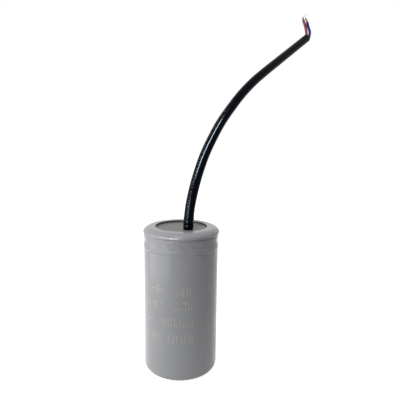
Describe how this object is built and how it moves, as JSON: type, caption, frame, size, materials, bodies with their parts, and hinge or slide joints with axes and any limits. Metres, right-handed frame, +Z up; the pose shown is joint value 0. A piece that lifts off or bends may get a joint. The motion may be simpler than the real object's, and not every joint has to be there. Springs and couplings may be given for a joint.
{
  "type": "motor run capacitor",
  "caption": "Round motor run capacitor in a grey shrink sleeve, with a bead and curled rim at the neck, a recessed cover and a two-core cable with bare ends.",
  "frame": {"origin": "centre of the foot, on the plane that the capacitor stands on", "axes": "+Z up along the can's axis; -Y towards the front, where the cable leaves the cover in front of the middle; +X to the right, the side to which the cable leans"},
  "size_m": [0.1334, 0.1418, 0.263],
  "materials": {
    "grey_sleeve": "glossy, slightly puckered",
    "can_aluminium": "drawn, satin",
    "cover_moulding": "matt moulded",
    "black_rubber": "matt",
    "black_pvc": "semi-gloss",
    "brown_pvc": "semi-gloss",
    "blue_pvc": "semi-gloss",
    "copper": "bare copper strands",
    "white_moulding": "matt moulded",
    "metallised_film": "metallised, silvery",
    "sprayed_zinc": "rough sprayed metal",
    "clear_film": "clear, slightly yellow",
    "solder": "bright tin solder",
    "casting_resin": "dark amber, glossy"
  },
  "bodies": {
    "root": {"shrink_sleeve": "grey_sleeve", "can": "can_aluminium", "cover": "cover_moulding", "sealing_ring": "black_rubber", "cable_grommet": "black_rubber", "cable_jacket": "black_pvc", "brown_core": "brown_pvc", "blue_core": "blue_pvc", "brown_strands": "copper", "blue_strands": "copper", "stray_strand": "copper", "base_insulator": "white_moulding", "winding": "metallised_film", "core_tube": "white_moulding", "top_contact": "sprayed_zinc", "bottom_contact": "sprayed_zinc", "winding_wrap": "clear_film", "spacer_ring": "white_moulding", "brown_lead": "brown_pvc", "blue_lead": "blue_pvc", "top_solder": "solder", "bottom_solder": "solder", "resin_fill": "casting_resin"}
  },
  "joints": []
}
